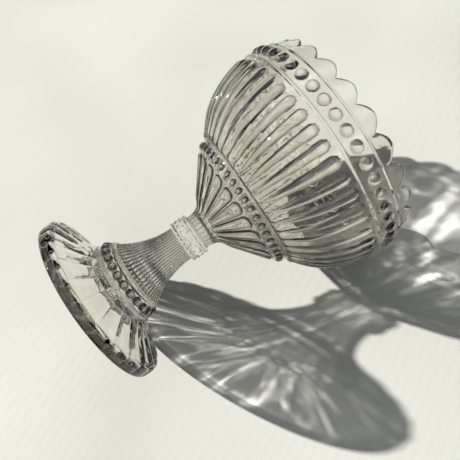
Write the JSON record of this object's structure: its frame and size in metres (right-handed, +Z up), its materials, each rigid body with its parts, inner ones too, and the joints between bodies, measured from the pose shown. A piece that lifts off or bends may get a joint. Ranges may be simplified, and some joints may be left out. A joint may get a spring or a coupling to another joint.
{
  "type": "footed glass bowl",
  "caption": "Pressed glass footed bowl with a fluted foot, beaded collar, ribbed stem, leaf-panelled lower cup, fluted bowl and scalloped rim, for serving sweets, fruit or sugar.",
  "frame": {"origin": "centre of the foot on the plane it stands on", "axes": "+Z up the bowl's axis from the foot to the rim; the bowl is turned, so X and Y are free"},
  "size_m": [0.1244, 0.1242, 0.16],
  "materials": {
    "pressed_glass": "polished"
  },
  "bodies": {
    "root": {"foot_skirt": "pressed_glass", "collar_lower_ring": "pressed_glass", "bead_collar": "pressed_glass", "collar_beads": "pressed_glass", "collar_upper_ring": "pressed_glass", "stem": "pressed_glass", "knop_lower_ring": "pressed_glass", "knop_band": "pressed_glass", "knop_dots": "pressed_glass", "knop_upper_ring": "pressed_glass", "neck": "pressed_glass", "leaf_cup": "pressed_glass", "small_bead_band": "pressed_glass", "small_beads": "pressed_glass", "lower_ring": "pressed_glass", "bowl_wall": "pressed_glass", "flute_dots": "pressed_glass", "upper_ring": "pressed_glass", "large_bead_band": "pressed_glass", "large_beads": "pressed_glass", "rim_ring": "pressed_glass", "scalloped_rim": "pressed_glass"}
  },
  "joints": []
}
